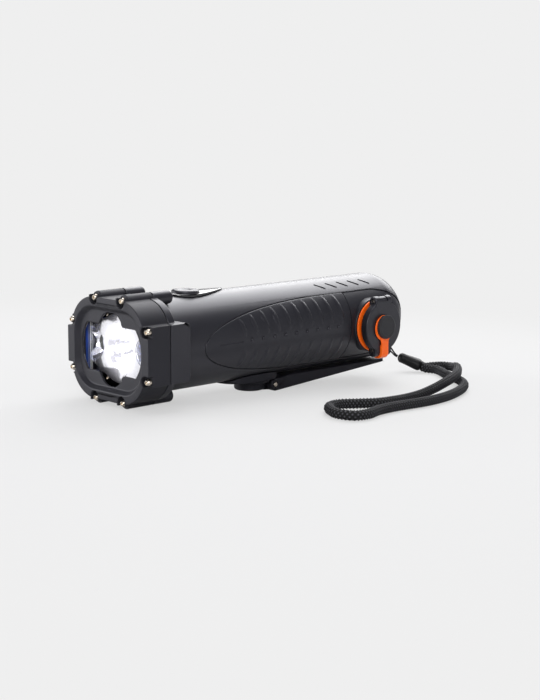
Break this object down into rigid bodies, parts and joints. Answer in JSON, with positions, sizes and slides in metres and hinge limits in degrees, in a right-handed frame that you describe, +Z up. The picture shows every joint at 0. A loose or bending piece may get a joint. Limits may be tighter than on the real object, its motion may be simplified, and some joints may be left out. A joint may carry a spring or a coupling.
{
  "type": "hand crank flashlight",
  "caption": "Torch with a square screwed crown, three lamps behind one lens, ribbed grip covers, folding crank, swivelling belt clip and wrist strap.",
  "frame": {"origin": "on the surface it lies on, below the middle of the torch without its strap", "axes": "+Z up, +Y towards the tail and close to the barrel's axis, +X to the crank's side"},
  "size_m": [0.11, 0.2101, 0.0512],
  "materials": {
    "shell": "satin, fine grain",
    "grip": "satin",
    "gloss_black": "gloss",
    "orange": "semi-gloss",
    "steel": "plated",
    "metallised": "vacuum metallised mirror",
    "lens_clear": "polished polycarbonate",
    "rubber": "matt",
    "nylon": "satin",
    "board": "solder mask",
    "winding": "enamelled copper on iron",
    "cell": "shrink sleeve",
    "cord": "braided"
  },
  "bodies": {
    "torch": {"bezel": "shell", "head_collar": "shell", "barrel_shell": "shell", "lamp_frame": "shell", "clip_saddle": "shell", "cover_right": "grip", "cover_left": "grip", "switch_plate": "gloss_black", "tact_switch": "gloss_black", "crank_ring": "orange", "bezel_screw_1": "steel", "bezel_screw_2": "steel", "bezel_screw_3": "steel", "bezel_screw_4": "steel", "bezel_screw_5": "steel", "bezel_screw_6": "steel", "bezel_screw_7": "steel", "bezel_screw_8": "steel", "frame_screw_1": "steel", "frame_screw_2": "steel", "frame_screw_3": "steel", "frame_screw_4": "steel", "board_screw_1": "steel", "board_screw_2": "steel", "swivel_screw": "steel", "idler_axle": "steel", "second_axle": "steel", "strap_bar": "steel", "reflector": "metallised", "lens": "lens_clear", "lens_gasket": "rubber", "strap_sleeve": "rubber", "gear_plate_left": "nylon", "gear_plate_right": "nylon", "battery_cradle": "nylon", "control_board": "board", "led_board": "board", "generator_stator": "winding", "battery_cell": "cell", "strap_string": "cord", "strap_cord": "cord"},
    "crank": {"crank_hub": "shell", "crank_screw": "steel", "crank_shaft": "steel", "crank_gear": "nylon"},
    "arm": {"crank_arm": "shell", "arm_pin": "steel"},
    "knob": {"crank_knob": "orange", "knob_pin": "steel", "finger_pad": "rubber"},
    "idler": {"idler_gear": "nylon"},
    "second": {"second_gear": "nylon"},
    "rotor": {"generator_rotor": "steel"},
    "button": {"switch_button": "gloss_black"},
    "swivel": {"clip_swivel": "shell", "clip_pin": "steel", "clip_spring": "steel"},
    "clip": {"clip_arm": "shell"}
  },
  "joints": [
    {"name": "crank_spin", "type": "hinge", "parent": "torch", "child": "crank", "pos_m": [-0.0013, 0.05719, 0.02875], "axis": [1, 0, 0], "continuous": true},
    {"name": "arm_fold", "type": "hinge", "parent": "crank", "child": "arm", "pos_m": [0.0235, 0.05664, 0.04084], "axis": [0, -0.999, -0.0453], "range_deg": [0, 180]},
    {"name": "knob_fold", "type": "hinge", "parent": "arm", "child": "knob", "pos_m": [0.0235, 0.05769, 0.01766], "axis": [0, 0.999, 0.0453], "range_deg": [0, 270]},
    {"name": "idler_spin", "type": "hinge", "parent": "torch", "child": "idler", "pos_m": [-0.0013, 0.03851, 0.0279], "axis": [1, 0, 0], "continuous": true},
    {"name": "second_spin", "type": "hinge", "parent": "torch", "child": "second", "pos_m": [-0.0013, 0.02143, 0.02713], "axis": [1, 0, 0], "continuous": true},
    {"name": "rotor_spin", "type": "hinge", "parent": "torch", "child": "rotor", "pos_m": [-0.0013, 0.00674, 0.02646], "axis": [1, 0, 0], "continuous": true},
    {"name": "button_press", "type": "slide", "parent": "torch", "child": "button", "axis": [0, 0.0453, -0.999], "range_m": [0, 0.001], "stiffness_N_per_m": 1200},
    {"name": "clip_turn", "type": "hinge", "parent": "torch", "child": "swivel", "pos_m": [-0.0013, -0.00412, 0.02767], "axis": [0, -0.0453, 0.999], "range_deg": [-45, 90]},
    {"name": "clip_open", "type": "hinge", "parent": "swivel", "child": "clip", "pos_m": [-0.0013, 0.00591, 0.0029], "axis": [-1, 0, 0], "range_deg": [0, 6], "stiffness_Nm_per_rad": 2, "springref_deg": -2.86}
  ],
  "couplings": [
    {"joint": "knob_fold", "follows": "arm_fold", "ratio": 1.5},
    {"joint": "idler_spin", "follows": "crank_spin", "ratio": -3.6},
    {"joint": "second_spin", "follows": "crank_spin", "ratio": 11.52},
    {"joint": "rotor_spin", "follows": "crank_spin", "ratio": -40.32}
  ]
}
